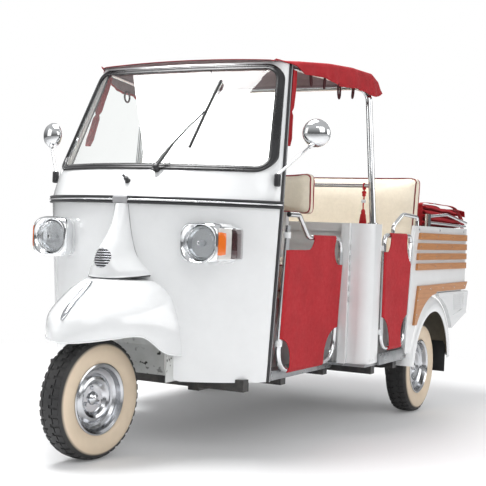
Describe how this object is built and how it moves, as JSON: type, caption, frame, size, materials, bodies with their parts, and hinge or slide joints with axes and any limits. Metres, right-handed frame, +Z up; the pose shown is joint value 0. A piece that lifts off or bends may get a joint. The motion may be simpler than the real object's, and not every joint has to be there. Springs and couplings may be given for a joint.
{
  "type": "auto rickshaw",
  "caption": "Three-wheeled auto rickshaw with an open canopied cab, canvas doors, a passenger bench and a rear load space, steered by its front wheel.",
  "frame": {"origin": "middle of the bounding box at ground level", "axes": "+Z up, -Y is the way it drives, +X is the vehicle's own left"},
  "size_m": [1.448, 2.8994, 1.6519],
  "materials": {
    "body_paint": "gloss white enamel",
    "chassis_paint": "satin black enamel",
    "chrome": "polished",
    "red_canvas": "coated canvas",
    "cream_vinyl": "soft vinyl with red piping",
    "black_rubber": "matt",
    "tyre_rubber": "treaded, with a cream sidewall band",
    "clear_glass": "clear",
    "varnished_wood": "varnished",
    "lamp_unit": "chromed surround with clear and amber lenses",
    "red_lens": "moulded lens",
    "black_plastic": "fine grained",
    "floor_sheet": "satin chequered sheet",
    "engine_casting": "plain block"
  },
  "bodies": {
    "body": {"armrests": "chrome", "bench_backrest": "cream_vinyl", "bench_cushion": "cream_vinyl", "body_mouldings": "black_rubber", "cab_front": "body_paint", "canopy": "red_canvas", "corner_columns": "body_paint", "cross_members": "chassis_paint", "dash_panel": "black_plastic", "driver_backrest": "cream_vinyl", "driver_cushion": "cream_vinyl", "engine_block": "engine_casting", "engine_covers": "body_paint", "floor_pan": "floor_sheet", "folded_hood": "red_canvas", "frame_rails": "chassis_paint", "front_mudguard": "body_paint", "headlamps": "lamp_unit", "hood_bows": "chrome", "horn_grille": "chrome", "mirrors": "chrome", "mudflaps": "black_rubber", "mudguard_crest": "chrome", "nose_cowl": "body_paint", "partition": "body_paint", "rear_body": "body_paint", "rear_fenders": "body_paint", "rear_suspension": "chassis_paint", "roof_frame": "chrome", "seat_base": "body_paint", "side_curtains": "red_canvas", "tail_lamps": "red_lens", "wheel_well": "body_paint", "windscreen_frame": "body_paint", "windscreen_glass": "clear_glass", "windscreen_seal": "black_rubber", "wiper": "black_plastic", "wood_trims": "varnished_wood"},
    "steering": {"steering_fork": "chassis_paint"},
    "front_wheel": {"front_tyre": "tyre_rubber", "front_rim": "chrome"},
    "rear_wheel_left": {"rear_left_tyre": "tyre_rubber", "rear_left_rim": "chrome"},
    "rear_wheel_right": {"rear_right_tyre": "tyre_rubber", "rear_right_rim": "chrome"},
    "front_door_left": {"front_door_left_frame": "chrome", "front_door_left_cloth": "red_canvas"},
    "front_door_right": {"front_door_right_frame": "chrome", "front_door_right_cloth": "red_canvas"},
    "rear_door_left": {"rear_door_left_frame": "chrome", "rear_door_left_cloth": "red_canvas"},
    "rear_door_right": {"rear_door_right_frame": "chrome", "rear_door_right_cloth": "red_canvas"},
    "tailgate": {"tailgate": "body_paint"}
  },
  "joints": [
    {"name": "steering", "type": "hinge", "parent": "body", "child": "steering", "pos_m": [0, -0.9749, 0.5], "axis": [0, 0.4067, 0.9135], "range_deg": [-33.6, 46.4]},
    {"name": "front_wheel_spin", "type": "hinge", "parent": "steering", "child": "front_wheel", "pos_m": [-0.00847, -1.16703, 0.238], "axis": [0.9938, -0.1115, 0], "continuous": true},
    {"name": "rear_left_wheel_spin", "type": "hinge", "parent": "body", "child": "rear_wheel_left", "pos_m": [0.5925, 0.8325, 0.238], "axis": [1, 0, 0], "continuous": true},
    {"name": "rear_right_wheel_spin", "type": "hinge", "parent": "body", "child": "rear_wheel_right", "pos_m": [-0.5925, 0.8325, 0.238], "axis": [1, 0, 0], "continuous": true},
    {"name": "front_left_door", "type": "hinge", "parent": "body", "child": "front_door_left", "pos_m": [0.548, -0.6705, 0.345], "axis": [0.0468, 0, 0.9989], "range_deg": [-70, 0]},
    {"name": "front_right_door", "type": "hinge", "parent": "body", "child": "front_door_right", "pos_m": [-0.548, -0.6705, 0.345], "axis": [-0.0468, 0, 0.9989], "range_deg": [0, 70]},
    {"name": "rear_left_door", "type": "hinge", "parent": "body", "child": "rear_door_left", "pos_m": [0.7, 0.0945, 0.6], "axis": [0, 0, 1], "range_deg": [-80, 0]},
    {"name": "rear_right_door", "type": "hinge", "parent": "body", "child": "rear_door_right", "pos_m": [-0.7, 0.0945, 0.6], "axis": [0, 0, 1], "range_deg": [0, 80]},
    {"name": "tailgate", "type": "hinge", "parent": "body", "child": "tailgate", "pos_m": [0, 1.3685, 0.664], "axis": [-1, 0, 0], "range_deg": [0, 90]}
  ]
}
